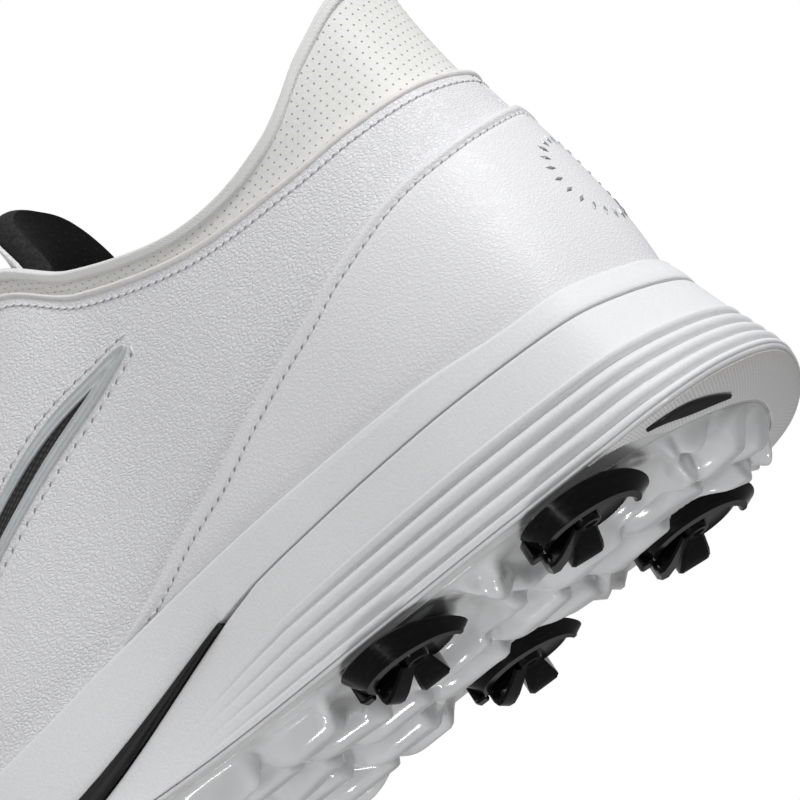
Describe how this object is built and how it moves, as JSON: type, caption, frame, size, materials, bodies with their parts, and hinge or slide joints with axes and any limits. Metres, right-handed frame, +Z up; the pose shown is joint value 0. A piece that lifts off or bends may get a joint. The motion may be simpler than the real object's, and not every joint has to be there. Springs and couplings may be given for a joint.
{
  "type": "golf shoe",
  "caption": "White leather golf shoe for the left foot, with a padded collar, a stacked heel wedge and quick-turn spikes under the sole.",
  "frame": {"origin": "on the ground plane of the spike tips, under the centre of the shoe's box", "axes": "+Y from toe to heel, +X towards the outer side of the foot, +Z up"},
  "size_m": [0.1085, 0.2858, 0.13],
  "materials": {
    "outsole_tpu": "glossy translucent white",
    "black_trim": "satin",
    "socket_plastic": "matte",
    "midsole_foam": "matte with a fine stipple",
    "shank_black": "satin gloss",
    "board": "matte",
    "sockliner_cloth": "matte knit",
    "white_leather": "fine pebble grain, low sheen",
    "grey_trim": "satin",
    "black_mesh": "woven, low sheen",
    "stiffener": "matte",
    "collar_synthetic": "perforated, matte",
    "foam": "matte foam",
    "collar_knit": "twill knit",
    "raw_edge": "smooth rolled edge",
    "lining_cloth": "matte textile",
    "tongue_cloth": "matte textile",
    "eyelet_metal": "satin",
    "lace_cord": "braided, matte",
    "spike_black": "glossy"
  },
  "bodies": {
    "shoe": {"outsole": "outsole_tpu", "heel_inlay": "black_trim", "spike_sockets": "socket_plastic", "midsole_lower": "midsole_foam", "shank_plate": "shank_black", "midsole_upper": "midsole_foam", "insole_board": "board", "sockliner": "sockliner_cloth", "vamp": "white_leather", "quarter_lateral": "white_leather", "quarter_medial": "white_leather", "heel_overlay": "white_leather", "eyestay_lateral": "white_leather", "eyestay_medial": "white_leather", "window_frame_lateral": "grey_trim", "window_frame_medial": "grey_trim", "window_mesh_lateral": "black_mesh", "window_mesh_medial": "black_mesh", "toe_puff": "stiffener", "heel_counter": "stiffener", "collar_panel": "collar_synthetic", "collar_foam": "foam", "collar_binding": "collar_knit", "topline_edge": "raw_edge", "heel_lining": "lining_cloth", "quarter_lining_lateral": "lining_cloth", "quarter_lining_medial": "lining_cloth", "vamp_lining": "lining_cloth", "eyelets": "eyelet_metal", "lace": "lace_cord"},
    "tongue": {"tongue_shell": "white_leather", "tongue_foam": "foam", "tongue_lining": "tongue_cloth"},
    "spike_1": {"spike_1": "spike_black"},
    "spike_2": {"spike_2": "spike_black"},
    "spike_3": {"spike_3": "spike_black"},
    "spike_4": {"spike_4": "spike_black"},
    "spike_5": {"spike_5": "spike_black"},
    "spike_6": {"spike_6": "spike_black"},
    "spike_7": {"spike_7": "spike_black"},
    "spike_8": {"spike_8": "spike_black"},
    "spike_9": {"spike_9": "spike_black"}
  },
  "joints": [
    {"name": "tongue_fold", "type": "hinge", "parent": "shoe", "child": "tongue", "pos_m": [0, -0.058, 0.066], "axis": [1, 0, 0], "range_deg": [-10, 0], "stiffness_Nm_per_rad": 0.4, "springref_deg": 2.86},
    {"name": "spike_1_lock", "type": "hinge", "parent": "shoe", "child": "spike_1", "pos_m": [0.0265, 0.1015, 0.01], "axis": [0, 0, 1], "range_deg": [0, 60]},
    {"name": "spike_2_lock", "type": "hinge", "parent": "shoe", "child": "spike_2", "pos_m": [-0.0265, 0.1015, 0.01], "axis": [0, 0, 1], "range_deg": [0, 60]},
    {"name": "spike_3_lock", "type": "hinge", "parent": "shoe", "child": "spike_3", "pos_m": [0.0265, 0.059, 0.01], "axis": [0, 0, 1], "range_deg": [0, 60]},
    {"name": "spike_4_lock", "type": "hinge", "parent": "shoe", "child": "spike_4", "pos_m": [-0.0265, 0.059, 0.01], "axis": [0, 0, 1], "range_deg": [0, 60]},
    {"name": "spike_5_lock", "type": "hinge", "parent": "shoe", "child": "spike_5", "pos_m": [0.029, -0.028, 0.01], "axis": [0, 0, 1], "range_deg": [0, 60]},
    {"name": "spike_6_lock", "type": "hinge", "parent": "shoe", "child": "spike_6", "pos_m": [-0.027, -0.022, 0.01], "axis": [0, 0, 1], "range_deg": [0, 60]},
    {"name": "spike_7_lock", "type": "hinge", "parent": "shoe", "child": "spike_7", "pos_m": [0.031, -0.072, 0.01], "axis": [0, 0, 1], "range_deg": [0, 60]},
    {"name": "spike_8_lock", "type": "hinge", "parent": "shoe", "child": "spike_8", "pos_m": [-0.031, -0.066, 0.01], "axis": [0, 0, 1], "range_deg": [0, 60]},
    {"name": "spike_9_lock", "type": "hinge", "parent": "shoe", "child": "spike_9", "pos_m": [-0.003, -0.106, 0.01], "axis": [0, 0, 1], "range_deg": [0, 60]}
  ]
}
